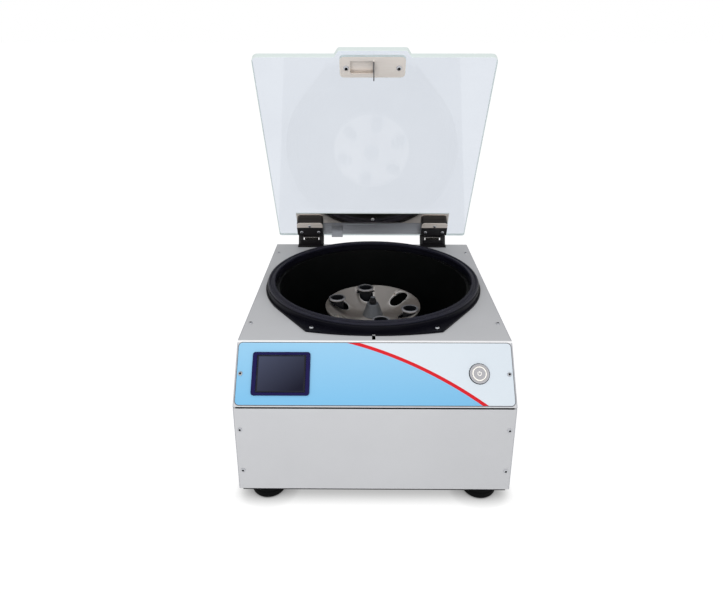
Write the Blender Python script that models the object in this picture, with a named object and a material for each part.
"""A bench centrifuge with a clear hinged lid.

A sheet-steel case with a sloping control panel carries a black bowl. In the bowl an aluminium rotor
turns on the motor's shaft, with tube shields that hang from trunnion pins and swing out as it spins.
The lid turns on two hinges, and a bolt under the deck locks the blade of its latch plate.

Metres, +Z up, front towards -Y. The origin is on the bench under the middle of the object's box.
"""

import math

import bmesh
import bpy
from mathutils import Vector

MM = 0.001

# Clearances that all the pieces share
SEAT_GAP = 0.3 * MM
OVERRUN = 3 * MM

# Case of folded sheet steel
BODY_WIDTH = 356 * MM
DECK_DEPTH = 370 * MM
SLOPE_RUN = 53 * MM
SLOPE_DROP = 64 * MM
FRONT_HEIGHT = 128.5 * MM
SHEET = 1.5 * MM
BEND_RADIUS = 2.5 * MM
SIDE_FLANGE = 16 * MM
PANEL_FLANGE = 14 * MM
FLANGE_CLEARANCE = 2 * MM
BASE_INSET = 5 * MM
BASE_SETBACK = 0.5 * MM
SEAM_GAP = 1.4 * MM

# Vents in the side and rear panels
VENT_COUNT = 8
VENT_LENGTH = 62 * MM
VENT_WIDTH = 4 * MM
VENT_PITCH = 10 * MM
VENT_RISE = 26 * MM
SIDE_VENT_BACK = 62 * MM
REAR_VENT_INSET = 108 * MM

# Rubber feet
FOOT_RADIUS = 22.5 * MM
FOOT_HEIGHT = 15 * MM
FOOT_DOME = 5 * MM
FOOT_SETBACK = 0 * MM
FOOT_SIDE_INSET = 36 * MM

# Bowl, and the collar and seal round its mouth
BOWL_SHIFT = 0.8 * MM
BOWL_STEP = 6 * MM
BOWL_WALL = 1.5 * MM
ROOM_UNDER_BOWL = 39.5 * MM
BOWL_CORNER = 20 * MM
BOWL_LIP = 9 * MM
BOWL_CLEARANCE = 1 * MM
UPSTAND_HEIGHT = 8 * MM
COLLAR_SIDE_MARGIN = 10 * MM
COLLAR_END_MARGIN = 17 * MM
COLLAR_WALL = 12.8 * MM
COLLAR_HEIGHT = 10.5 * MM
COLLAR_CHAMFER = 1.2 * MM
COLLAR_FOOT = 2.2 * MM
COLLAR_FOOT_HEIGHT = 2.8 * MM
APRON_REACH = 4.7 * MM
APRON_HALF_WIDTH = 92 * MM
APRON_SWEEP = 11 * MM
COLLAR_SCREW_INSET = 7.5 * MM
COLLAR_SCREW_SETBACK = 6.9 * MM
COLLAR_SCREW_RADIUS = 3.4 * MM
COLLAR_SCREW_HEIGHT = 1.8 * MM
SEAL_RISE = 3.6 * MM
SEAL_INSET = 0.5 * MM
SEAL_WIDTH = 11 * MM
SEAL_RIDGE = 4.2 * MM
SEAL_GROOVE = 2 * MM
SEAL_OUTER_DROP = 0.6 * MM
SEAL_ROUND = 1 * MM

# Rotor
RIM_DEPTH = 36 * MM
RIM_RADIUS = 76 * MM
RIM_LIP = 1.8 * MM
RIM_HEIGHT = 3 * MM
DISH_DEPTH = 18.4 * MM
DISH_SLOPE_RUN = 40 * MM
DISH_WALL = 2.5 * MM
DISH_BOSS_RADIUS = 15 * MM
DISH_BOSS_HEIGHT = 10 * MM
PLACE_COUNT = 6
ROTOR_TURN_DEGREES = 11
SLOT_RIM_MARGIN = 2 * MM
SLOT_REACH = 32 * MM
SLOT_WIDTH = 23.6 * MM
HUB_BASE_RADIUS = 16.5 * MM
HUB_TOP_RADIUS = 9.3 * MM
HUB_HEIGHT = 20.5 * MM
HUB_CAP = 5.5 * MM
SHAFT_RADIUS = 5 * MM
SHAFT_LENGTH = 70 * MM
KNOB_RADIUS = 4.1 * MM
KNOB_SKIRT_RADIUS = 5.9 * MM
KNOB_SKIRT_HEIGHT = 5 * MM
KNOB_HEIGHT = 10.5 * MM
KNOB_ROUND = 1.2 * MM
STUD_RADIUS = 3 * MM

# Tube shields
SHIELD_RING_INSET = 14.5 * MM
SHIELD_RADIUS = 10.8 * MM
SHIELD_BORE_RADIUS = 9 * MM
SHIELD_LENGTH = 104 * MM
SHIELD_FLOOR = 4 * MM
SHIELD_END_ROUND = 5.5 * MM
SHIELD_COLLAR_RADIUS = 13.35 * MM
SHIELD_COLLAR_HEIGHT = 2.5 * MM
SHIELD_COLLAR_ROUND = 0.7 * MM
TRUNNION_RADIUS = 1.5 * MM
TRUNNION_REACH = 4.6 * MM
TRUNNION_LIFT = 0.2 * MM
CUSHION_HEIGHT = 4 * MM

# Motor and what carries it
MOTOR_RADIUS = 42 * MM
ROTOR_CLEARANCE = 13 * MM
MOTOR_EDGE = 3 * MM
MOTOR_HOLE_MARGIN = 4 * MM
SHAFT_SOCKET = 34 * MM
BOOT_OVERLAP = 4 * MM
BOOT_HEIGHT = 4 * MM
MOTOR_PLATE_RADIUS = 62 * MM
MOTOR_PLATE_THICKNESS = 3 * MM
MOUNT_COUNT = 3
MOUNT_RADIUS = 11 * MM
MOUNT_WAIST = 1.6 * MM
MOUNT_HEIGHT = 12 * MM
MOUNT_RING_RADIUS = 48 * MM

# Lid and hinges
LID_SIDE_INSET = 5 * MM
LID_OVERHANG = 6.4 * MM
LID_THICKNESS = 9.7 * MM
LID_OPEN_DEGREES = 60
LID_REST_GAP = 0.5 * MM
LID_EDGE_AHEAD = 1.7 * MM
LID_CORNER = 8 * MM
LID_EDGE_ROUND = 0.6 * MM
TONGUE_REACH = 10 * MM
TONGUE_WIDTH = 97 * MM
TONGUE_SHOULDER = 6 * MM
HINGE_BACK = 3.6 * MM
HINGE_RISE = 16 * MM
HINGE_INSET = 59.5 * MM
HINGE_WIDTH = 47 * MM
HINGE_BLOCK_START = 14 * MM
HINGE_BLOCK_END = 46 * MM
HINGE_BLOCK_HEIGHT = 11 * MM
HINGE_BLOCK_CORNER = 6 * MM
HINGE_BAND_START = 33.5 * MM
HINGE_BAND_THICKNESS = 1 * MM
BARREL_RADIUS = 4 * MM
BARREL_WIDTH = 29 * MM
BARREL_CLEARANCE = 1.2 * MM
HINGE_PIN_RADIUS = 1.8 * MM
BRACKET_BASE_DEPTH = 17 * MM
BRACKET_BASE_THICKNESS = 3 * MM
BRACKET_EAR_DEPTH = 7 * MM
BRACKET_WEB = 2.4 * MM
LEAF_THICKNESS = 2.4 * MM
RAIL_OVERHANG = 0.8 * MM
RAIL_THICKNESS = 3 * MM
RAIL_START = 4 * MM
RAIL_SPLIT = 35 * MM
RAIL_END = 60 * MM
RAIL_GROOVES = 5
RAIL_GROOVE_DEPTH = 0.8 * MM
RAIL_X = 0.5 * MM
TAB_X = -64.5 * MM
TAB_WIDTH = 20.5 * MM
TAB_START = 6 * MM
TAB_END = 30.8 * MM
TAB_THICKNESS = 1.5 * MM
TAB_FOLD = 9 * MM

# Latch plate with its bent blade, and the lock under the deck
LATCH_X = -2.6 * MM
LATCH_WIDTH = 93 * MM
LATCH_HEIGHT = 33 * MM
LATCH_THICKNESS = 1.5 * MM
LATCH_DEPTH = 8.2 * MM
LATCH_CORNER = 6 * MM
LATCH_WINDOW_WIDTH = 32.6 * MM
LATCH_WINDOW_HEIGHT = 20.5 * MM
LATCH_WINDOW_CORNER = 2 * MM
BLADE_X = -1.8 * MM
BLADE_THICKNESS = 1.5 * MM
BLADE_REACH = 30 * MM
BLADE_SHOULDER = 12 * MM
BLADE_TIP_WIDTH = 6.4 * MM
BLADE_FRONT_INSET = 12.3 * MM
SLOT_SIDE_CLEARANCE = 1.5 * MM
SLOT_FRONT_CLEARANCE = 1.8 * MM
SLOT_REAR_CLEARANCE = 4.9 * MM
BOLT_WIDTH = 3 * MM
BOLT_HEIGHT = 2 * MM
BOLT_TRAVEL = 8 * MM
BOLT_DROP = 4 * MM
BOLT_HEAD = 7 * MM
BOLT_HEAD_LENGTH = 4 * MM
LOCK_WIDTH = 38 * MM
LOCK_DEPTH = 20 * MM
LOCK_HEIGHT = 22 * MM
LOCK_AHEAD = 6 * MM
LATCH_SCREW_INSET = 9 * MM
LATCH_SCREW_RISE = 15.6 * MM
LATCH_SCREW_RADIUS = 3.6 * MM
LATCH_SCREW_HEIGHT = 2 * MM

# Control panel on the slope. Distances down run from the deck's front edge
OVERLAY_MARGIN = 2.5 * MM
OVERLAY_THICKNESS = 0.4 * MM
OVERLAY_CORNER = 5 * MM
DISPLAY_INSET = 58.7 * MM
DISPLAY_DOWN = 42 * MM
BEZEL_WIDTH = 74 * MM
BEZEL_HEIGHT = 54.5 * MM
BEZEL_BORDER = 5.4 * MM
BEZEL_BORDER_END = 3.6 * MM
BEZEL_THICKNESS = 1.8 * MM
BEZEL_CORNER = 3.5 * MM
DISPLAY_PANE_DROP = 0.6 * MM
DISPLAY_DEPTH = 13 * MM
BOARD_WIDTH = 84 * MM
BOARD_HEIGHT = 60 * MM
BOARD_THICKNESS = 1.6 * MM
BUTTON_INSET = 45.1 * MM
BUTTON_DOWN = 41.3 * MM
BUTTON_BEZEL_RADIUS = 12.6 * MM
BUTTON_BEZEL_HEIGHT = 2.4 * MM
BUTTON_BEZEL_ROUND = 0.8 * MM
BUTTON_SLEEVE_RADIUS = 10.8 * MM
BUTTON_CAP_RADIUS = 9 * MM
BUTTON_CAP_LENGTH = 10 * MM
BUTTON_SLEEVE_LENGTH = 26 * MM
BUTTON_CAP_DROP = 0.4 * MM
BUTTON_HOLE_CLEARANCE = 0.4 * MM

# Mains inlet, fuse drawer and the board on the base
INLET_INSET = 82 * MM
INLET_RISE = 46 * MM
INLET_FLANGE_WIDTH = 50 * MM
INLET_FLANGE_HEIGHT = 40 * MM
INLET_FLANGE_THICKNESS = 2.5 * MM
INLET_CORNER = 3 * MM
INLET_BODY_MARGIN = 3 * MM
INLET_BODY_DEPTH = 24 * MM
SOCKET_WIDTH = 24 * MM
SOCKET_HEIGHT = 16 * MM
SOCKET_DEPTH = 17 * MM
SOCKET_CORNER = 4 * MM
SOCKET_RISE = 6 * MM
CONTACT_WIDTH = 2 * MM
CONTACT_HEIGHT = 4 * MM
CONTACT_LENGTH = 11 * MM
CONTACT_PITCH = 7 * MM
DRAWER_WIDTH = 22 * MM
DRAWER_HEIGHT = 8 * MM
DRAWER_DEPTH = 18 * MM
DRAWER_DROP = 11 * MM
DRAWER_FACE = 1.2 * MM
POWER_BOARD_INSET = 66 * MM
POWER_BOARD_WIDTH = 84 * MM
POWER_BOARD_DEPTH = 78 * MM
POWER_BOARD_HEIGHT = 30 * MM

# Shape of a pan-head screw, as shares of its height and radius
PAN_SHOULDER_SHARE = 0.55
PAN_CROWN_SHARE = 0.7

# Steps round turned pieces and rounded corners
FINE_STEPS = 72
ROUND_STEPS = 40
SMALL_STEPS = 20
ARC_STEPS = 4

# Places that follow from the sizes
HALF_WIDTH = BODY_WIDTH / 2
SLOPE_ANGLE = math.atan2(SLOPE_DROP, SLOPE_RUN)
SLOPE_LENGTH = math.hypot(SLOPE_RUN, SLOPE_DROP)
BASE_BOTTOM = FOOT_HEIGHT + SEAT_GAP
BASE_TOP = BASE_BOTTOM + SHEET
SLOPE_FOOT_Z = BASE_BOTTOM + FRONT_HEIGHT
DECK_Z = SLOPE_FOOT_Z + SLOPE_DROP
COLLAR_RADIUS = min(HALF_WIDTH - COLLAR_SIDE_MARGIN, DECK_DEPTH / 2 - COLLAR_END_MARGIN)
COLLAR_BORE = COLLAR_RADIUS - COLLAR_FOOT - COLLAR_WALL
BOWL_RADIUS = COLLAR_BORE - BOWL_STEP
BOWL_DEPTH = DECK_Z - BASE_BOTTOM - ROOM_UNDER_BOWL
SEAL_TOP = COLLAR_HEIGHT + SEAT_GAP + SEAL_RISE
RIM_Z = DECK_Z - RIM_DEPTH
DISH_FLAT_RADIUS = RIM_RADIUS - DISH_SLOPE_RUN
SLOT_MIDDLE = RIM_RADIUS - SLOT_RIM_MARGIN - SLOT_REACH / 2
SHIELD_RING_RADIUS = RIM_RADIUS - SHIELD_RING_INSET
MOTOR_TOP_Z = RIM_Z - DISH_DEPTH - DISH_WALL - DISH_BOSS_HEIGHT - ROTOR_CLEARANCE

# The lid's sizes and places, taken from the hinge axis
LID_OPEN = math.radians(LID_OPEN_DEGREES)
LID_WIDTH = BODY_WIDTH - 2 * LID_SIDE_INSET
LID_LENGTH = DECK_DEPTH + HINGE_BACK - LID_EDGE_AHEAD + LID_OVERHANG
LID_FACE = SEAL_TOP + LID_REST_GAP - HINGE_RISE
LID_BACK_REACH = (
    HINGE_BACK
    - (LID_EDGE_AHEAD + LID_EDGE_ROUND) * math.cos(LID_OPEN)
    + (LID_FACE + LID_THICKNESS) * math.sin(LID_OPEN)
)
HINGE_X = LID_WIDTH / 2 - HINGE_INSET
RAIL_WIDTH = 2 * (HINGE_X + RAIL_OVERHANG) + HINGE_WIDTH

# The object's box is centred on the origin, from the front panel back to the open lid's lower edge
FRONT_Y = -(SLOPE_RUN + DECK_DEPTH + LID_BACK_REACH) / 2
DECK_FRONT_Y = FRONT_Y + SLOPE_RUN
REAR_Y = DECK_FRONT_Y + DECK_DEPTH
BOWL_Y = (DECK_FRONT_Y + REAR_Y) / 2 + BOWL_SHIFT
HINGE_Y = REAR_Y + HINGE_BACK
HINGE_Z = DECK_Z + HINGE_RISE
BLADE_FRONT_Y = DECK_FRONT_Y - LID_OVERHANG + BLADE_FRONT_INSET
BLADE_Y = BLADE_FRONT_Y + BLADE_TIP_WIDTH / 2
SLOT_LEFT = BLADE_X - SLOT_SIDE_CLEARANCE


def make_material(name, colour, roughness, metallic=0.0, transmission=0.0):
    """A Principled material in one colour, given as sRGB values from 0 to 1."""
    made = bpy.data.materials.new(name)
    made.use_nodes = True
    shader = made.node_tree.nodes["Principled BSDF"]
    linear = [value / 12.92 if value <= 0.04045 else ((value + 0.055) / 1.055) ** 2.4 for value in colour]
    shader.inputs["Base Color"].default_value = (*linear, 1.0)
    shader.inputs["Roughness"].default_value = roughness
    shader.inputs["Metallic"].default_value = metallic
    shader.inputs["Transmission Weight"].default_value = transmission
    made.diffuse_color = (*colour, 1.0)
    return made


def frame_at(name, location, rotation=(0, 0, 0), parent=None):
    """An empty that holds the axes of a group of pieces."""
    empty = bpy.data.objects.new(name, None)
    empty.location = location
    empty.rotation_euler = rotation
    empty.parent = parent
    bpy.context.scene.collection.objects.link(empty)
    return empty


def add_object(name, form, material=None, parent=None, location=(0, 0, 0), smooth=None):
    """An object made from a bmesh. Smooth is the angle in degrees past which an edge stays sharp."""
    bmesh.ops.recalc_face_normals(form, faces=form.faces)
    mesh = bpy.data.meshes.new(name)
    form.to_mesh(mesh)
    form.free()
    if material:
        mesh.materials.append(material)
    if smooth:
        mesh.shade_smooth()
        mesh.set_sharp_from_angle(angle=math.radians(smooth))
    made = bpy.data.objects.new(name, mesh)
    made.parent = parent
    made.location = location
    bpy.context.scene.collection.objects.link(made)
    return made


def combine(target, form, operation, parent=None, location=(0, 0, 0)):
    """Cuts a form from the target or joins it on, with a live Boolean and a hidden helper."""
    name = f"{target.name}_{operation.lower()}_{len(target.modifiers)}"
    helper = add_object(name, form, None, parent, location)
    helper.hide_render = True
    helper.display_type = "WIRE"
    step = target.modifiers.new(operation.capitalize(), "BOOLEAN")
    step.operation = operation
    step.solver = "EXACT"
    step.object = helper


def cut(target, form, parent=None, location=(0, 0, 0)):
    combine(target, form, "DIFFERENCE", parent, location)


def join(target, form, parent=None, location=(0, 0, 0)):
    combine(target, form, "UNION", parent, location)


def prism(outline, low, high, along="Z"):
    """A closed outline extruded along one axis. Its two values are the other two axes, in X, Y, Z order."""
    order = {"X": (2, 0, 1), "Y": (0, 2, 1), "Z": (0, 1, 2)}[along]
    form = bmesh.new()
    corners = [form.verts.new([(a, b, low)[i] for i in order]) for a, b in outline]
    face = form.faces.new(corners)
    grown = bmesh.ops.extrude_face_region(form, geom=[face])
    moved = [item for item in grown["geom"] if isinstance(item, bmesh.types.BMVert)]
    step = [0.0, 0.0, 0.0]
    step["XYZ".index(along)] = high - low
    bmesh.ops.translate(form, verts=moved, vec=step)
    return form


def rectangle(centre_a, centre_b, width, height):
    a, b = width / 2, height / 2
    return [
        (centre_a - a, centre_b - b),
        (centre_a + a, centre_b - b),
        (centre_a + a, centre_b + b),
        (centre_a - a, centre_b + b),
    ]


def rounded(outline, radii, steps=ARC_STEPS):
    """The outline with its corners rounded. Radii is one radius, or one for each corner."""
    if not isinstance(radii, (list, tuple)):
        radii = [radii] * len(outline)
    points = []
    for i, radius in enumerate(radii):
        corner = Vector(outline[i])
        before = (Vector(outline[i - 1]) - corner).normalized()
        after = (Vector(outline[(i + 1) % len(outline)]) - corner).normalized()
        if radius <= 0:
            points.append(tuple(corner))
            continue
        half = before.angle(after) / 2
        centre = corner + (before + after).normalized() * radius / math.sin(half)
        start = corner + before * radius / math.tan(half) - centre
        turn = before.angle_signed(after)
        sweep = math.copysign(math.pi - abs(turn), turn)
        for k in range(steps + 1):
            angle = sweep * k / steps
            x = start.x * math.cos(angle) - start.y * math.sin(angle)
            y = start.x * math.sin(angle) + start.y * math.cos(angle)
            points.append((centre.x + x, centre.y + y))
    return points


def circle(centre_a, centre_b, radius, steps):
    turns = [math.tau * k / steps for k in range(steps)]
    return [(centre_a + radius * math.cos(turn), centre_b + radius * math.sin(turn)) for turn in turns]


def inset(outline, distance):
    """A convex outline with each side moved inwards."""
    middle = sum((Vector(point) for point in outline), Vector((0, 0))) / len(outline)
    lines = []
    for i, point in enumerate(outline):
        start = Vector(point)
        along = (Vector(outline[(i + 1) % len(outline)]) - start).normalized()
        inward = Vector((-along.y, along.x))
        if inward.dot(middle - start) < 0:
            inward.negate()
        lines.append((start + inward * distance, along))
    points = []
    for i, (start, along) in enumerate(lines):
        other, across = lines[i - 1]
        reach = (other - start).cross(across) / along.cross(across)
        points.append(tuple(start + along * reach))
    return points


def turned(profile, steps):
    """A profile of (radius, height) spun round Z. One that starts and ends on the axis closes there."""
    form = bmesh.new()
    verts = [form.verts.new((radius, 0, height)) for radius, height in profile]
    edges = [form.edges.new(pair) for pair in zip(verts, verts[1:])]
    if profile[0][0] > 0:
        edges.append(form.edges.new((verts[-1], verts[0])))
    bmesh.ops.spin(
        form, geom=verts + edges, cent=(0, 0, 0), axis=(0, 0, 1), angle=math.tau, steps=steps, use_merge=True
    )
    bmesh.ops.remove_doubles(form, verts=form.verts, dist=SEAT_GAP / 1000)
    return form


def span(a_low, a_high, b_low, b_high):
    """A rectangle between two values on each axis."""
    return [(a_low, b_low), (a_high, b_low), (a_high, b_high), (a_low, b_high)]


def quarter_round(radius, bottom, fillet):
    """The rounded lower edge of a turned piece, from its underside up to its side."""
    turns = [math.pi / 2 * (ARC_STEPS - k) / ARC_STEPS for k in range(ARC_STEPS + 1)]
    middle, level = radius - fillet, bottom + fillet
    return [(middle + fillet * math.cos(turn), level - fillet * math.sin(turn)) for turn in turns]


def rod(radius, low, high, steps, along="X", centre_a=0.0, centre_b=0.0):
    return prism(circle(centre_a, centre_b, radius, steps), low, high, along)


def several(forms):
    """Separate forms in one bmesh, for one cutter."""
    whole = bmesh.new()
    for form in forms:
        piece = bpy.data.meshes.new("piece")
        form.to_mesh(piece)
        form.free()
        whole.from_mesh(piece)
        bpy.data.meshes.remove(piece)
    return whole


def clear_scene():
    for old in list(bpy.data.objects):
        bpy.data.objects.remove(old)


clear_scene()
white_paint = make_material("white_paint", (0.84, 0.845, 0.85), 0.35)
rubber = make_material("black_rubber", (0.07, 0.07, 0.075), 0.7)
black_plastic = make_material("black_plastic", (0.09, 0.09, 0.11), 0.4)
black_paint = make_material("black_paint", (0.03, 0.03, 0.04), 0.35)
spun_aluminium = make_material("spun_aluminium", (0.72, 0.71, 0.7), 0.32, 1.0)
grey_hub = make_material("grey_hub", (0.5, 0.5, 0.51), 0.45, 0.6)
steel = make_material("polished_steel", (0.78, 0.77, 0.75), 0.15, 1.0)
dark_steel = make_material("dark_steel", (0.35, 0.35, 0.37), 0.4, 1.0)
clear_acrylic = make_material("clear_acrylic", (0.95, 0.97, 0.97), 0.03, 0.0, 1.0)
blue_print = make_material("printed_film", (0.6, 0.8, 0.93), 0.3)
indigo_plastic = make_material("indigo_plastic", (0.15, 0.14, 0.45), 0.3)
dark_glass = make_material("dark_glass", (0.13, 0.13, 0.2), 0.1)
circuit_board = make_material("circuit_board", (0.05, 0.3, 0.15), 0.5)
lit_plastic = make_material("lit_plastic", (0.95, 0.93, 0.86), 0.3)


def case_outline(distance=0.0):
    """The case's side view, as (y, z), with each side moved inwards. Its bend is rounded to match."""
    corners = [
        (FRONT_Y, BASE_BOTTOM),
        (REAR_Y, BASE_BOTTOM),
        (REAR_Y, DECK_Z),
        (DECK_FRONT_Y, DECK_Z),
        (FRONT_Y, SLOPE_FOOT_Z),
    ]
    bend = max(BEND_RADIUS + SHEET - distance, 0.0)
    return rounded(inset(corners, distance), [0, 0, 0, bend, 0])


def vent_slots(centre, lowest, low, high, along):
    """A column of level slots with round ends, for cutting vents."""
    slots = []
    for k in range(VENT_COUNT):
        outline = rectangle(centre, lowest + k * VENT_PITCH, VENT_LENGTH, VENT_WIDTH)
        slots.append(prism(rounded(outline, VENT_WIDTH / 2 - SEAT_GAP, 2), low, high, along))
    return several(slots)


def make_case():
    half = HALF_WIDTH
    outer = case_outline()
    inner = case_outline(SHEET)
    # The deck and the slope are the outline without its front, base and rear sides.
    strip = outer[2:] + inner[:1:-1]
    strip[len(outer) - 3] = outer[-1]
    slope_end = Vector(outer[-1]) + SHEET * Vector((math.sin(SLOPE_ANGLE), -math.cos(SLOPE_ANGLE)))
    strip[len(outer) - 2] = tuple(slope_end)
    strip[-1] = (REAR_Y, DECK_Z - SHEET)
    top_cover = add_object("top_cover", prism(strip, -half, half, "X"), white_paint)
    bowl_hole = BOWL_RADIUS + BOWL_WALL + BOWL_CLEARANCE
    low, high = DECK_Z - SHEET - OVERRUN, DECK_Z + OVERRUN
    cut(top_cover, prism(circle(0, BOWL_Y, bowl_hole, FINE_STEPS), low, high))
    cut(top_cover, prism(latch_slot_outline(), low, high))

    tray = case_outline(SHEET + SEAT_GAP)
    hollow = case_outline(2 * SHEET + SEAT_GAP)
    vent_y = REAR_Y - SIDE_VENT_BACK
    for side, name in ((-1, "side_panel_left"), (1, "side_panel_right")):
        edge, inside = side * half, side * (half - SIDE_FLANGE - SHEET)
        panel = add_object(name, prism(tray, min(edge, inside), max(edge, inside), "X"), white_paint)
        wall, past = side * (half - SHEET), inside - side * OVERRUN
        cut(panel, prism(hollow, min(wall, past), max(wall, past), "X"))
        near, far = side * (half - SHEET - OVERRUN), side * (half + OVERRUN)
        cut(panel, vent_slots(vent_y, BASE_TOP + VENT_RISE, min(near, far), max(near, far), "X"))

    low = BASE_TOP + SEAT_GAP
    flange_half = half - SHEET - SIDE_FLANGE - FLANGE_CLEARANCE
    front_top = slope_end.y - SEAM_GAP
    front = prism(span(FRONT_Y, FRONT_Y + SHEET, low, front_top), -half, half, "X")
    front_panel = add_object("front_panel", front, white_paint)
    rear_top = DECK_Z - SHEET - SEAT_GAP
    rear = prism(span(REAR_Y - SHEET, REAR_Y, low, rear_top), -half, half, "X")
    rear_panel = add_object("rear_panel", rear, white_paint)
    # The flanges are bent inwards between the side panels' own flanges.
    for panel, wall, way, top in ((front_panel, FRONT_Y, 1, front_top), (rear_panel, REAR_Y, -1, rear_top)):
        for z in (low, top - SHEET):
            start, end = wall + way * SHEET / 2, wall + way * PANEL_FLANGE
            flange = span(min(start, end), max(start, end), z, z + SHEET)
            join(panel, prism(flange, -flange_half, flange_half, "X"))
    near, far = REAR_Y - SHEET - OVERRUN, REAR_Y + OVERRUN
    vent_x = REAR_VENT_INSET - HALF_WIDTH
    cut(rear_panel, vent_slots(vent_x, BASE_TOP + VENT_RISE, near, far, "Y"))
    hole = INLET_FLANGE_WIDTH - 2 * INLET_BODY_MARGIN + 2 * SEAT_GAP
    rise = INLET_FLANGE_HEIGHT - 2 * INLET_BODY_MARGIN + 2 * SEAT_GAP
    inlet_x = HALF_WIDTH - INLET_INSET
    cut(rear_panel, prism(rectangle(inlet_x, BASE_TOP + INLET_RISE, hole, rise), near, far, "Y"))

    base = span(BASE_INSET - half, half - BASE_INSET, FRONT_Y + BASE_SETBACK, REAR_Y - BASE_SETBACK)
    add_object("base_plate", prism(base, BASE_BOTTOM, BASE_TOP), dark_steel)
    return top_cover


def make_feet():
    places = (("front_left", -1, -1), ("front_right", 1, -1), ("rear_left", -1, 1), ("rear_right", 1, 1))
    profile = [(0, 0)] + quarter_round(FOOT_RADIUS, 0, FOOT_DOME)
    profile += [(FOOT_RADIUS, FOOT_HEIGHT), (0, FOOT_HEIGHT)]
    for name, x, y in places:
        edge = FRONT_Y if y < 0 else REAR_Y
        place = (x * (HALF_WIDTH - FOOT_SIDE_INSET), edge - y * (FOOT_SETBACK + FOOT_RADIUS), 0)
        add_object(f"foot_{name}", turned(profile, SMALL_STEPS), rubber, location=place, smooth=40)


def latch_slot_outline():
    right = BLADE_X + BLADE_THICKNESS + SLOT_SIDE_CLEARANCE
    rear = BLADE_FRONT_Y + BLADE_TIP_WIDTH + SLOT_REAR_CLEARANCE
    return span(SLOT_LEFT, right, BLADE_FRONT_Y - SLOT_FRONT_CLEARANCE, rear)


def make_bowl():
    mouth = (0, BOWL_Y, DECK_Z)
    outer, floor = BOWL_RADIUS + BOWL_WALL, -BOWL_DEPTH
    lip, lip_top = BOWL_RADIUS + BOWL_LIP, SEAT_GAP + BOWL_WALL
    hole = MOTOR_RADIUS + MOTOR_HOLE_MARGIN
    inside = quarter_round(BOWL_RADIUS, floor, BOWL_CORNER)[::-1]
    outside = quarter_round(outer, floor - BOWL_WALL, BOWL_CORNER + BOWL_WALL)
    profile = [(outer, SEAT_GAP), (lip, SEAT_GAP), (lip, lip_top), (BOWL_RADIUS, lip_top)] + inside
    upstand_top = floor + UPSTAND_HEIGHT
    profile += [(hole + BOWL_WALL, floor), (hole + BOWL_WALL, upstand_top), (hole, upstand_top)]
    profile += [(hole, floor - BOWL_WALL)] + outside
    add_object("chamber_bowl", turned(profile, FINE_STEPS), black_paint, location=mouth, smooth=40)

    # The collar's foot reaches forward in a shallow curve between two corners that carry its screws.
    reach = COLLAR_RADIUS + APRON_REACH
    sweep_radius = (APRON_HALF_WIDTH**2 + APRON_SWEEP**2) / (2 * APRON_SWEEP)
    corner_turn = math.asin(APRON_HALF_WIDTH / sweep_radius)
    apron = bmesh.new()
    for x, y in circle(0, 0, COLLAR_RADIUS, FINE_STEPS):
        apron.verts.new((x, y, SEAT_GAP))
    for k in range(-2 * ARC_STEPS, 2 * ARC_STEPS + 1):
        turn = corner_turn * k / (2 * ARC_STEPS)
        y = -reach + sweep_radius * (1 - math.cos(turn))
        apron.verts.new((sweep_radius * math.sin(turn), y, SEAT_GAP))
    hull = bmesh.ops.convex_hull(apron, input=apron.verts)
    spare = {item for item in hull["geom_interior"] if isinstance(item, bmesh.types.BMVert)}
    bmesh.ops.delete(apron, geom=list(spare), context="VERTS")
    rim = sorted((vert.co for vert in apron.verts), key=lambda place: math.atan2(place.y, place.x))
    outline = [(place.x, place.y) for place in rim]
    apron.free()
    foot = prism(outline, SEAT_GAP, COLLAR_FOOT_HEIGHT)
    collar = add_object("bowl_collar", foot, black_plastic, location=mouth, smooth=30)
    recess = BOWL_RADIUS + BOWL_LIP + 2 * SEAT_GAP
    hollow = prism(circle(0, 0, recess, FINE_STEPS), -OVERRUN, COLLAR_FOOT_HEIGHT + OVERRUN)
    cut(collar, hollow, location=mouth)
    low = 2 * SEAT_GAP + BOWL_WALL
    wall_radius = COLLAR_BORE + COLLAR_WALL
    wall = [
        (COLLAR_BORE, low),
        (wall_radius, low),
        (wall_radius, COLLAR_HEIGHT - COLLAR_CHAMFER),
        (wall_radius - COLLAR_CHAMFER, COLLAR_HEIGHT),
        (COLLAR_BORE, COLLAR_HEIGHT),
    ]
    join(collar, turned(wall, FINE_STEPS), location=mouth)
    cut(collar, prism(latch_slot_outline(), DECK_Z - OVERRUN, DECK_Z + COLLAR_FOOT_HEIGHT + OVERRUN))
    seat = DECK_Z + COLLAR_FOOT_HEIGHT + SEAT_GAP
    screw_x = APRON_HALF_WIDTH - COLLAR_SCREW_INSET
    screw_y = BOWL_Y - reach + APRON_SWEEP + COLLAR_SCREW_SETBACK
    for side, name in ((-1, "left"), (1, "right")):
        head = screw_head(COLLAR_SCREW_RADIUS, COLLAR_SCREW_HEIGHT)
        add_object(f"collar_screw_{name}", head, steel, location=(side * screw_x, screw_y, seat), smooth=40)

    inner = COLLAR_BORE + SEAL_INSET
    wide = inner + SEAL_WIDTH
    low, top = COLLAR_HEIGHT + SEAT_GAP, SEAL_TOP
    outer_top, groove = top - SEAL_OUTER_DROP, top - SEAL_GROOVE
    seal = [
        (inner, low),
        (wide, low),
        (wide, outer_top - SEAL_ROUND),
        (wide - SEAL_ROUND, outer_top),
        (wide - SEAL_RIDGE + SEAL_ROUND, outer_top),
        (wide - SEAL_RIDGE, groove),
        (inner + SEAL_RIDGE, groove),
        (inner + SEAL_RIDGE - SEAL_ROUND, top),
        (inner + SEAL_ROUND, top),
        (inner, top - SEAL_ROUND),
    ]
    add_object("bowl_seal", turned(seal, FINE_STEPS), rubber, location=mouth, smooth=50)


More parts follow.
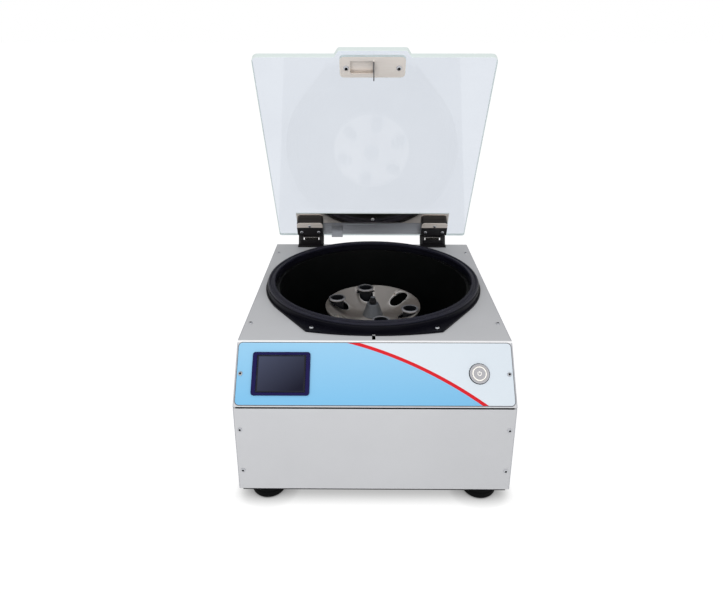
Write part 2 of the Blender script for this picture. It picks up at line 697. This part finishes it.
def screw_head(radius, height):
    """A pan head, standing on its underside."""
    shoulder = height * PAN_SHOULDER_SHARE
    crown = radius * PAN_CROWN_SHARE
    return turned([(0, 0), (radius, 0), (radius, shoulder), (crown, height), (0, height)], SMALL_STEPS // 2)


def wall_height(radius):
    """The height of the dish's sloping wall above or below its rim at a radius."""
    inner = RIM_RADIUS - RIM_LIP
    return -DISH_DEPTH * (inner - radius) / (inner - DISH_FLAT_RADIUS)


def make_rotor():
    axis = frame_at("rotor_axis", (0, BOWL_Y, RIM_Z), (0, 0, math.radians(ROTOR_TURN_DEGREES)))
    bore = SHAFT_RADIUS + SEAT_GAP
    inner = RIM_RADIUS - RIM_LIP
    dish = [
        (bore, -DISH_DEPTH),
        (DISH_FLAT_RADIUS, -DISH_DEPTH),
        (inner, 0),
        (RIM_RADIUS, 0),
        (RIM_RADIUS, -RIM_HEIGHT),
        (inner, wall_height(inner) - RIM_HEIGHT),
        (DISH_FLAT_RADIUS, -DISH_DEPTH - DISH_WALL),
        (DISH_BOSS_RADIUS, -DISH_DEPTH - DISH_WALL),
        (DISH_BOSS_RADIUS, -DISH_DEPTH - DISH_WALL - DISH_BOSS_HEIGHT),
        (bore, -DISH_DEPTH - DISH_WALL - DISH_BOSS_HEIGHT),
    ]
    rotor = add_object("rotor_dish", turned(dish, FINE_STEPS), spun_aluminium, axis, smooth=35)
    pivot_height = wall_height(SHIELD_RING_RADIUS) + TRUNNION_LIFT
    places = []
    for k in range(PLACE_COUNT):
        turn = -math.tau * k / PLACE_COUNT
        place = frame_at(f"place_{k + 1}", (0, 0, 0), (0, 0, turn), axis)
        slot = rectangle(0, SLOT_MIDDLE, SLOT_WIDTH, SLOT_REACH)
        slot = rounded(slot, SLOT_WIDTH / 2 - SEAT_GAP / 10, 2 * ARC_STEPS)
        cut(rotor, prism(slot, -DISH_DEPTH - DISH_WALL - OVERRUN, OVERRUN), place)
        pivot = frame_at(f"pivot_{k + 1}", (0, SHIELD_RING_RADIUS, pivot_height), (0, 0, 0), place)
        notch = SHIELD_RADIUS + TRUNNION_REACH + SEAT_GAP
        cut(rotor, rod(TRUNNION_RADIUS + SEAT_GAP, -notch, notch, SMALL_STEPS // 2), pivot)
        places.append(pivot)

    low, top = -DISH_DEPTH + SEAT_GAP, -DISH_DEPTH + HUB_HEIGHT
    stud_bore = STUD_RADIUS + SEAT_GAP
    hub = [
        (bore, low),
        (HUB_BASE_RADIUS, low),
        (HUB_TOP_RADIUS, top),
        (stud_bore, top),
        (stud_bore, top - HUB_CAP),
        (bore, top - HUB_CAP),
    ]
    add_object("rotor_hub", turned(hub, ROUND_STEPS), grey_hub, axis, smooth=40)

    shaft_top = top - HUB_CAP - SEAT_GAP
    shaft = span(0, SHAFT_RADIUS, shaft_top - SHAFT_LENGTH, shaft_top)
    add_object("drive_shaft", turned(shaft, SMALL_STEPS), steel, axis, smooth=40)

    seat, knob_top = top + SEAT_GAP, top + KNOB_HEIGHT
    skirt = seat + KNOB_SKIRT_HEIGHT
    knob = [
        (0, shaft_top + SEAT_GAP),
        (STUD_RADIUS, shaft_top + SEAT_GAP),
        (STUD_RADIUS, seat),
        (KNOB_SKIRT_RADIUS, seat),
        (KNOB_SKIRT_RADIUS, skirt),
        (KNOB_RADIUS, skirt),
        (KNOB_RADIUS, knob_top - KNOB_ROUND),
        (KNOB_RADIUS - KNOB_ROUND, knob_top),
        (0, knob_top),
    ]
    add_object("rotor_knob", turned(knob, SMALL_STEPS), black_plastic, axis, smooth=40)

    mouth = SEAT_GAP + SHIELD_COLLAR_HEIGHT - pivot_height
    # The second place and the one across from it stay empty, so the load is balanced.
    for k, pivot in enumerate(places):
        if k % (PLACE_COUNT // 2) != 1:
            make_shield(k, pivot, mouth)


def make_shield(place, pivot, mouth):
    """A tube shield that hangs on its pivot, with a rubber cushion in its bottom."""
    foot = mouth - SHIELD_LENGTH
    under = mouth - SHIELD_COLLAR_HEIGHT
    floor = foot + SHIELD_FLOOR
    edge, lip = SHIELD_COLLAR_RADIUS - SHIELD_COLLAR_ROUND, mouth - SHIELD_COLLAR_ROUND
    shield = [(0, foot)] + quarter_round(SHIELD_RADIUS, foot, SHIELD_END_ROUND)
    shield += [(SHIELD_RADIUS, under), (SHIELD_COLLAR_RADIUS, under)]
    shield += [(SHIELD_COLLAR_RADIUS, lip), (edge, mouth)]
    shield += [(SHIELD_BORE_RADIUS + SHIELD_COLLAR_ROUND, mouth), (SHIELD_BORE_RADIUS, lip)]
    shield += [(SHIELD_BORE_RADIUS, floor), (0, floor)]
    name = f"tube_shield_{place + 1}"
    body = add_object(name, turned(shield, SMALL_STEPS), black_plastic, pivot, smooth=40)
    # Each trunnion pin starts inside the shield's wall and stops short of its bore.
    start = (SHIELD_RADIUS + SHIELD_BORE_RADIUS) / 2
    for low, high in ((start, SHIELD_RADIUS + TRUNNION_REACH), (-SHIELD_RADIUS - TRUNNION_REACH, -start)):
        join(body, rod(TRUNNION_RADIUS, low, high, SMALL_STEPS // 2), pivot)
    low = floor + SEAT_GAP
    cushion = span(0, SHIELD_BORE_RADIUS - SEAT_GAP, low, low + CUSHION_HEIGHT)
    add_object(f"shield_cushion_{place + 1}", turned(cushion, SMALL_STEPS), rubber, pivot, smooth=40)


def make_motor():
    mounts_top = BASE_TOP + SEAT_GAP + MOUNT_HEIGHT
    plate_low = mounts_top + SEAT_GAP
    plate_high = plate_low + MOTOR_PLATE_THICKNESS
    middle = (0, BOWL_Y, 0)
    mount = [
        (0, 0),
        (MOUNT_RADIUS, 0),
        (MOUNT_RADIUS - MOUNT_WAIST, MOUNT_HEIGHT / 2),
        (MOUNT_RADIUS, MOUNT_HEIGHT),
        (0, MOUNT_HEIGHT),
    ]
    for k in range(MOUNT_COUNT):
        turn = math.tau * k / MOUNT_COUNT + math.pi / 2
        x, y = MOUNT_RING_RADIUS * math.cos(turn), BOWL_Y + MOUNT_RING_RADIUS * math.sin(turn)
        place = (x, y, BASE_TOP + SEAT_GAP)
        add_object(f"vibration_mount_{k + 1}", turned(mount, SMALL_STEPS), rubber, location=place, smooth=40)
    plate = circle(0, 0, MOTOR_PLATE_RADIUS, ROUND_STEPS)
    add_object("motor_plate", prism(plate, plate_low, plate_high), dark_steel, location=middle)

    low, high = plate_high + SEAT_GAP, MOTOR_TOP_Z
    bore = SHAFT_RADIUS + SEAT_GAP
    motor = [
        (0, low),
        (MOTOR_RADIUS, low),
        (MOTOR_RADIUS, high - MOTOR_EDGE),
        (MOTOR_RADIUS - MOTOR_EDGE, high),
        (bore, high),
        (bore, high - SHAFT_SOCKET),
        (0, high - SHAFT_SOCKET),
    ]
    add_object("motor", turned(motor, ROUND_STEPS), dark_steel, location=middle, smooth=40)

    upstand_top = DECK_Z - BOWL_DEPTH + UPSTAND_HEIGHT
    outer = MOTOR_RADIUS + MOTOR_HOLE_MARGIN + BOWL_WALL + BOOT_OVERLAP
    boot_low = upstand_top + SEAT_GAP
    boot = span(MOTOR_RADIUS + SEAT_GAP, outer, boot_low, boot_low + BOOT_HEIGHT)
    add_object("motor_boot", turned(boot, ROUND_STEPS), rubber, location=middle, smooth=40)


def along_lid(distance):
    """The local y of a place at a distance from the lid's rear edge, with the lid's axis as origin."""
    return -(LID_EDGE_AHEAD + distance)


def lid_rectangle(centre_x, width, start, end):
    near, far = along_lid(start), along_lid(end)
    return rectangle(centre_x, (near + far) / 2, width, near - far)


def make_lid():
    """The lid and what it carries, modelled closed round the hinge axis and turned open there."""
    axis = frame_at("lid_axis", (0, HINGE_Y, HINGE_Z), (-LID_OPEN, 0, 0))
    half, tip = LID_WIDTH / 2, TONGUE_WIDTH / 2
    # The tongue is over the latch plate, which is a little left of the lid's middle.
    tip_left, tip_right = LATCH_X - tip, LATCH_X + tip
    left, right = tip_left - TONGUE_SHOULDER, tip_right + TONGUE_SHOULDER
    rear, front, end = along_lid(0), along_lid(LID_LENGTH), along_lid(LID_LENGTH + TONGUE_REACH)
    outline = [(half, rear), (-half, rear), (-half, front), (left, front), (tip_left, end)]
    outline += [(tip_right, end), (right, front), (half, front)]
    radii = [LID_CORNER / 2, LID_CORNER / 2, LID_CORNER, LID_EDGE_ROUND, LID_CORNER / 2, LID_CORNER / 2]
    radii += [LID_EDGE_ROUND, LID_CORNER]
    sheet = prism(rounded(outline, radii), LID_FACE, LID_FACE + LID_THICKNESS)
    lid = add_object("lid", sheet, clear_acrylic, axis)
    rounding = lid.modifiers.new("Bevel", "BEVEL")
    rounding.width = LID_EDGE_ROUND
    rounding.segments = 1
    rounding.angle_limit = math.radians(60)
    low = LID_FACE - OVERRUN
    recess = lid_rectangle(RAIL_X, RAIL_WIDTH + 2 * SEAT_GAP, RAIL_START - SEAT_GAP, RAIL_END + SEAT_GAP)
    cut(lid, prism(recess, low, LID_FACE + RAIL_THICKNESS + SEAT_GAP), axis)
    plate_start = LID_LENGTH - LATCH_HEIGHT
    pocket = lid_rectangle(LATCH_X, LATCH_WIDTH + 2 * SEAT_GAP, plate_start - SEAT_GAP, LID_LENGTH + SEAT_GAP)
    pocket = rounded(pocket, LATCH_CORNER)
    cut(lid, prism(pocket, low, LID_FACE + LATCH_DEPTH + SEAT_GAP), axis)
    # The barrels turn in a notch at each hinge.
    notch = BARREL_RADIUS + BARREL_CLEARANCE - LID_EDGE_AHEAD
    for side in (-1, 1):
        gap = lid_rectangle(side * HINGE_X, HINGE_WIDTH + 4 * SEAT_GAP, -OVERRUN, notch)
        cut(lid, prism(gap, low, LID_FACE + LID_THICKNESS + OVERRUN), axis)

    make_rail(axis)
    make_latch_plate(axis, plate_start)
    for side, name in ((-1, "left"), (1, "right")):
        make_hinge(axis, side * HINGE_X, name)


def make_rail(axis):
    """The ridged rail and the polished strip, let into the lid's inner face, and the bent tab on the rail."""
    near, far = along_lid(RAIL_START), along_lid(RAIL_SPLIT)
    pitch = (near - far) / (2 * RAIL_GROOVES + 1)
    bottom = []
    for k in range(RAIL_GROOVES):
        start = far + (2 * k + 1) * pitch
        depth = LID_FACE + RAIL_GROOVE_DEPTH
        bottom += [(start, LID_FACE), (start, depth), (start + pitch, depth), (start + pitch, LID_FACE)]
    top = LID_FACE + RAIL_THICKNESS
    profile = [(far, LID_FACE)] + bottom + [(near, LID_FACE), (near, top), (far, top)]
    low, high = RAIL_X - RAIL_WIDTH / 2, RAIL_X + RAIL_WIDTH / 2
    add_object("hinge_rail", prism(profile, low, high, "X"), spun_aluminium, axis)
    strip = lid_rectangle(RAIL_X, RAIL_WIDTH, RAIL_SPLIT + SEAT_GAP, RAIL_END)
    add_object("rail_strip", prism(strip, LID_FACE, top), steel, axis)

    seat = LID_FACE - SEAT_GAP
    near, far = along_lid(TAB_START), along_lid(TAB_END)
    fold = [
        (far, seat),
        (far, seat - TAB_THICKNESS),
        (near - TAB_THICKNESS, seat - TAB_THICKNESS),
        (near - TAB_THICKNESS, seat - TAB_FOLD),
        (near, seat - TAB_FOLD),
        (near, seat),
    ]
    add_object("lid_tab", prism(fold, TAB_X - TAB_WIDTH / 2, TAB_X + TAB_WIDTH / 2, "X"), steel, axis)


def make_latch_plate(axis, start):
    """The latch plate, flush in the lid, and the shallow sheet box behind it, which closes its window.

    Its blade is bent down along the window's right edge.
    """
    outline = rounded(lid_rectangle(LATCH_X, LATCH_WIDTH, start, LID_LENGTH), LATCH_CORNER)
    plate = add_object("latch_plate", prism(outline, LID_FACE, LID_FACE + LATCH_DEPTH), steel, axis)
    margin = (LATCH_HEIGHT - LATCH_WINDOW_HEIGHT) / 2
    window_start, window_end = start + margin, LID_LENGTH - margin
    window_x = BLADE_X - LATCH_WINDOW_WIDTH / 2
    window = lid_rectangle(window_x, LATCH_WINDOW_WIDTH, window_start, window_end)
    window = rounded(window, LATCH_WINDOW_CORNER)
    cut(plate, prism(window, LID_FACE - OVERRUN, LID_FACE + LATCH_DEPTH / 2), axis)
    inside = inset(outline, LATCH_THICKNESS)
    cut(plate, prism(inside, LID_FACE + LATCH_THICKNESS, LID_FACE + LATCH_DEPTH - LATCH_THICKNESS), axis)
    for side, name in ((-1, "left"), (1, "right")):
        head = screw_head(LATCH_SCREW_RADIUS, LATCH_SCREW_HEIGHT)
        bmesh.ops.scale(head, vec=(1, 1, -1), verts=head.verts)
        x = LATCH_X + side * (LATCH_WIDTH / 2 - LATCH_SCREW_INSET)
        place = (x, along_lid(start + LATCH_SCREW_RISE), LID_FACE - SEAT_GAP)
        add_object(f"latch_screw_{name}", head, steel, axis, place, smooth=40)

    tip_end = LID_LENGTH - BLADE_FRONT_INSET
    tip_start = tip_end - BLADE_TIP_WIDTH
    root, shoulder, tip = LID_FACE - LATCH_THICKNESS, LID_FACE - BLADE_SHOULDER, LID_FACE - BLADE_REACH
    rooted = LID_FACE + LATCH_THICKNESS / 2
    root_start = window_start + LATCH_WINDOW_CORNER
    blade = [
        (along_lid(root_start), rooted),
        (along_lid(window_end), rooted),
        (along_lid(window_end), root),
        (along_lid(tip_end), shoulder),
        (along_lid(tip_end), tip),
        (along_lid(tip_start), tip),
        (along_lid(tip_start), shoulder),
        (along_lid(root_start), root),
    ]
    join(plate, prism(blade, BLADE_X, BLADE_X + BLADE_THICKNESS, "X"), axis)
    hole = rectangle(
        along_lid((tip_start + tip_end) / 2),
        -HINGE_RISE - BOLT_DROP,
        BOLT_WIDTH + 2 * SEAT_GAP,
        BOLT_HEIGHT + 2 * SEAT_GAP,
    )
    cut(plate, prism(hole, BLADE_X - OVERRUN, BLADE_X + BLADE_THICKNESS + OVERRUN, "X"), axis)


def make_hinge(axis, x, name):
    """One hinge: a block under the lid with its barrel, a steel band, a bracket on the deck and a pin."""
    seat = LID_FACE - SEAT_GAP
    face = LID_FACE - HINGE_BLOCK_HEIGHT
    low, high = x - HINGE_WIDTH / 2, x + HINGE_WIDTH / 2
    near, far = along_lid(HINGE_BLOCK_START), along_lid(HINGE_BLOCK_END)
    band_start, ledge = along_lid(HINGE_BAND_START), face + HINGE_BAND_THICKNESS + SEAT_GAP
    corners = [HINGE_BLOCK_CORNER, HINGE_BLOCK_CORNER, 0, 0]
    plan = rounded(span(low, high, far, near), corners)
    block = add_object(f"hinge_block_{name}", prism(plan, face, seat), black_plastic, axis)
    step = span(low - OVERRUN, high + OVERRUN, far - OVERRUN, band_start)
    cut(block, prism(step, face - OVERRUN, ledge), axis)
    # The barrel and its leaf reach back from the block, between the bracket's ears.
    left, right = x - BARREL_WIDTH / 2, x + BARREL_WIDTH / 2
    join(block, rod(BARREL_RADIUS, left, right, SMALL_STEPS, "X"), axis)
    leaf = span(near - OVERRUN, 0, seat - LEAF_THICKNESS, seat)
    join(block, prism(leaf, left, right, "X"), axis)
    cut(block, rod(HINGE_PIN_RADIUS + SEAT_GAP, left - OVERRUN, right + OVERRUN, SMALL_STEPS, "X"), axis)

    band = rounded(span(low, high, far, band_start - SEAT_GAP), corners)
    add_object(f"hinge_band_{name}", prism(band, face, face + HINGE_BAND_THICKNESS), steel, axis)

    # The bracket stands on the deck. Its ears lean back over the deck's rear edge.
    pivot = (0, HINGE_Y, HINGE_Z)
    rear = -HINGE_BACK - SEAT_GAP
    floor = -HINGE_RISE + SEAT_GAP
    top = floor + BRACKET_BASE_THICKNESS
    foot = prism(span(rear - BRACKET_BASE_DEPTH, rear, floor, top), low, high, "X")
    bracket = add_object(f"hinge_bracket_{name}", foot, black_paint, location=pivot)
    ears = []
    for a, b in ((low, left - SEAT_GAP), (right + SEAT_GAP, high)):
        ears.append(prism(ear_outline(rear, floor + BRACKET_BASE_THICKNESS / 2), a, b, "X"))
    join(bracket, several(ears), location=pivot)
    # A web joins the ears in front of the barrel, under the leaf of the closed lid.
    web_front = rear - BRACKET_EAR_DEPTH
    web_top = -(BARREL_RADIUS + BARREL_CLEARANCE)
    web = span(web_front, web_front + BRACKET_WEB, floor + BRACKET_BASE_THICKNESS / 2, web_top)
    ear_middle = (HINGE_WIDTH + BARREL_WIDTH) / 4
    join(bracket, prism(web, x - ear_middle, x + ear_middle, "X"), location=pivot)
    bore = rod(HINGE_PIN_RADIUS + SEAT_GAP, low - OVERRUN, high + OVERRUN, SMALL_STEPS, "X")
    cut(bracket, bore, location=pivot)
    pin = rod(HINGE_PIN_RADIUS, low, high, SMALL_STEPS, "X")
    add_object(f"hinge_pin_{name}", pin, steel, location=pivot)


def ear_outline(rear, floor):
    """An ear's side view: a foot that narrows up to the round of the hinge axis."""
    foot = [(rear - BRACKET_EAR_DEPTH, floor), (rear, floor)]
    points = bmesh.new()
    for y, z in foot + circle(0, 0, BARREL_RADIUS, SMALL_STEPS):
        points.verts.new((y, z, 0))
    hull = bmesh.ops.convex_hull(points, input=points.verts)
    spare = {item for item in hull["geom_interior"] if isinstance(item, bmesh.types.BMVert)}
    bmesh.ops.delete(points, geom=list(spare), context="VERTS")
    middle = sum((vert.co for vert in points.verts), Vector()) / len(points.verts)
    turn = {vert: math.atan2(vert.co.y - middle.y, vert.co.x - middle.x) for vert in points.verts}
    outline = [(vert.co.x, vert.co.y) for vert in sorted(points.verts, key=turn.get)]
    points.free()
    return outline


def make_lock():
    """The lock under the deck, and the bolt that slides through the blade's hole."""
    right = SLOT_LEFT - SEAT_GAP
    left = right - LOCK_WIDTH
    high = DECK_Z - SHEET - SEAT_GAP
    start = BLADE_Y - LOCK_AHEAD
    box = span(left, right, start, start + LOCK_DEPTH)
    body = add_object("lock_body", prism(box, high - LOCK_HEIGHT, high), dark_steel)
    bolt_z = DECK_Z - BOLT_DROP
    channel = rectangle(BLADE_Y, bolt_z, BOLT_WIDTH + 2 * SEAT_GAP, BOLT_HEIGHT + 2 * SEAT_GAP)
    cut(body, prism(channel, left - OVERRUN, right + OVERRUN, "X"))
    head_right = left - BOLT_TRAVEL - SEAT_GAP
    head_left = head_right - BOLT_HEAD_LENGTH
    rod_side = rectangle(BLADE_Y, bolt_z, BOLT_WIDTH, BOLT_HEIGHT)
    bolt = add_object("latch_bolt", prism(rod_side, head_left, right, "X"), steel)
    head_side = rectangle(BLADE_Y, bolt_z + (BOLT_HEIGHT - BOLT_HEAD) / 2, BOLT_HEAD, BOLT_HEAD)
    join(bolt, prism(head_side, head_left, head_right, "X"))


def make_controls(top_cover):
    """The control panel, in axes that lie on the slope: X right, Y up the slope, Z out of it."""
    slope = frame_at("slope_axis", (0, DECK_FRONT_Y, DECK_Z), (SLOPE_ANGLE, 0, 0))
    display_x, button_x = DISPLAY_INSET - HALF_WIDTH, HALF_WIDTH - BUTTON_INSET
    middle = -SLOPE_LENGTH / 2
    width, height = BODY_WIDTH - 2 * OVERLAY_MARGIN, SLOPE_LENGTH - 2 * OVERLAY_MARGIN
    film_top = SEAT_GAP + OVERLAY_THICKNESS
    film = prism(rounded(rectangle(0, middle, width, height), OVERLAY_CORNER), SEAT_GAP, film_top)
    overlay = add_object("control_overlay", film, blue_print, slope)
    glass_width, glass_height = BEZEL_WIDTH - 2 * BEZEL_BORDER, BEZEL_HEIGHT - 2 * BEZEL_BORDER_END
    window = rectangle(display_x, -DISPLAY_DOWN, glass_width, glass_height)
    button = circle(button_x, -BUTTON_DOWN, BUTTON_SLEEVE_RADIUS + BUTTON_HOLE_CLEARANCE, ROUND_STEPS)
    for sheet, low, high in ((overlay, 0, film_top + OVERRUN), (top_cover, -SHEET - OVERRUN, OVERRUN)):
        cut(sheet, prism(window, low, high), slope)
        cut(sheet, prism(button, low, high), slope)

    seat = film_top + SEAT_GAP
    bezel_top = seat + BEZEL_THICKNESS
    border = rounded(rectangle(display_x, -DISPLAY_DOWN, BEZEL_WIDTH, BEZEL_HEIGHT), BEZEL_CORNER)
    bezel = add_object("display_bezel", prism(border, seat, bezel_top), indigo_plastic, slope)
    cut(bezel, prism(window, seat - OVERRUN, bezel_top + OVERRUN), slope)
    module_width, module_height = glass_width - 2 * SEAT_GAP, glass_height - 2 * SEAT_GAP
    module = rectangle(display_x, -DISPLAY_DOWN, module_width, module_height)
    pane = prism(module, -DISPLAY_DEPTH, bezel_top - DISPLAY_PANE_DROP)
    add_object("display_module", pane, dark_glass, slope)
    board_top = -DISPLAY_DEPTH - SEAT_GAP
    board = rectangle(display_x, -DISPLAY_DOWN, BOARD_WIDTH, BOARD_HEIGHT)
    add_object("control_board", prism(board, board_top - BOARD_THICKNESS, board_top), circuit_board, slope)

    place = (button_x, -BUTTON_DOWN, 0)
    top = seat + BUTTON_BEZEL_HEIGHT
    bore, bottom = BUTTON_CAP_RADIUS + SEAT_GAP, -BUTTON_SLEEVE_LENGTH
    sleeve_floor = bottom + BUTTON_SLEEVE_RADIUS - bore
    ring = [
        (0, bottom),
        (BUTTON_SLEEVE_RADIUS, bottom),
        (BUTTON_SLEEVE_RADIUS, seat),
        (BUTTON_BEZEL_RADIUS, seat),
        (BUTTON_BEZEL_RADIUS, top - BUTTON_BEZEL_ROUND),
        (BUTTON_BEZEL_RADIUS - BUTTON_BEZEL_ROUND, top),
        (bore, top),
        (bore, sleeve_floor),
        (0, sleeve_floor),
    ]
    add_object("power_button_bezel", turned(ring, ROUND_STEPS), steel, slope, place, smooth=40)
    cap_top = top - BUTTON_CAP_DROP
    cap = span(0, BUTTON_CAP_RADIUS, cap_top - BUTTON_CAP_LENGTH, cap_top)
    add_object("power_button", turned(cap, ROUND_STEPS), lit_plastic, slope, place, smooth=40)


def make_inlet():
    """The mains inlet in the rear panel, with its fuse drawer, and the power board on the base."""
    x, z = HALF_WIDTH - INLET_INSET, BASE_TOP + INLET_RISE
    seat, face = REAR_Y + SEAT_GAP, REAR_Y + SEAT_GAP + INLET_FLANGE_THICKNESS
    flange = rounded(rectangle(x, z, INLET_FLANGE_WIDTH, INLET_FLANGE_HEIGHT), INLET_CORNER)
    inlet = add_object("power_inlet", prism(flange, seat, face, "Y"), black_plastic)
    width, height = INLET_FLANGE_WIDTH - 2 * INLET_BODY_MARGIN, INLET_FLANGE_HEIGHT - 2 * INLET_BODY_MARGIN
    back = REAR_Y - INLET_BODY_DEPTH
    join(inlet, prism(rectangle(x, z, width, height), back, seat + INLET_FLANGE_THICKNESS / 2, "Y"))
    socket_z = z + SOCKET_RISE
    socket = rectangle(x, socket_z, SOCKET_WIDTH, SOCKET_HEIGHT)
    socket = rounded(socket, [0, 0, SOCKET_CORNER, SOCKET_CORNER])
    cut(inlet, prism(socket, face - SOCKET_DEPTH, face + OVERRUN, "Y"))
    contacts = []
    for k, rise in ((-1, -CONTACT_HEIGHT / 2), (0, CONTACT_HEIGHT / 2), (1, -CONTACT_HEIGHT / 2)):
        blade = rectangle(x + k * CONTACT_PITCH, socket_z + rise, CONTACT_WIDTH, CONTACT_HEIGHT)
        low = face - SOCKET_DEPTH
        contacts.append(prism(blade, low - OVERRUN / 2, low + CONTACT_LENGTH, "Y"))
    join(inlet, several(contacts))
    drawer_z = z - DRAWER_DROP
    cavity = rectangle(x, drawer_z, DRAWER_WIDTH + 2 * SEAT_GAP, DRAWER_HEIGHT + 2 * SEAT_GAP)
    cut(inlet, prism(cavity, face - DRAWER_DEPTH - SEAT_GAP, face + OVERRUN, "Y"))
    drawer_face = face + SEAT_GAP
    box = rectangle(x, drawer_z, DRAWER_WIDTH, DRAWER_HEIGHT)
    box = prism(box, face - DRAWER_DEPTH, drawer_face + DRAWER_FACE, "Y")
    drawer = add_object("fuse_drawer", box, black_plastic)
    lip = rectangle(x, drawer_z, DRAWER_WIDTH + 2 * DRAWER_FACE, DRAWER_HEIGHT + 2 * DRAWER_FACE)
    join(drawer, prism(lip, drawer_face, drawer_face + DRAWER_FACE + SEAT_GAP, "Y"))

    board_x, board_y = POWER_BOARD_INSET - HALF_WIDTH, REAR_Y - POWER_BOARD_INSET
    board = rectangle(board_x, board_y, POWER_BOARD_WIDTH, POWER_BOARD_DEPTH)
    low = BASE_TOP + SEAT_GAP
    add_object("power_board", prism(board, low, low + POWER_BOARD_HEIGHT), circuit_board)


cover = make_case()
make_feet()
make_bowl()
make_rotor()
make_motor()
make_lid()
make_lock()
make_controls(cover)
make_inlet()
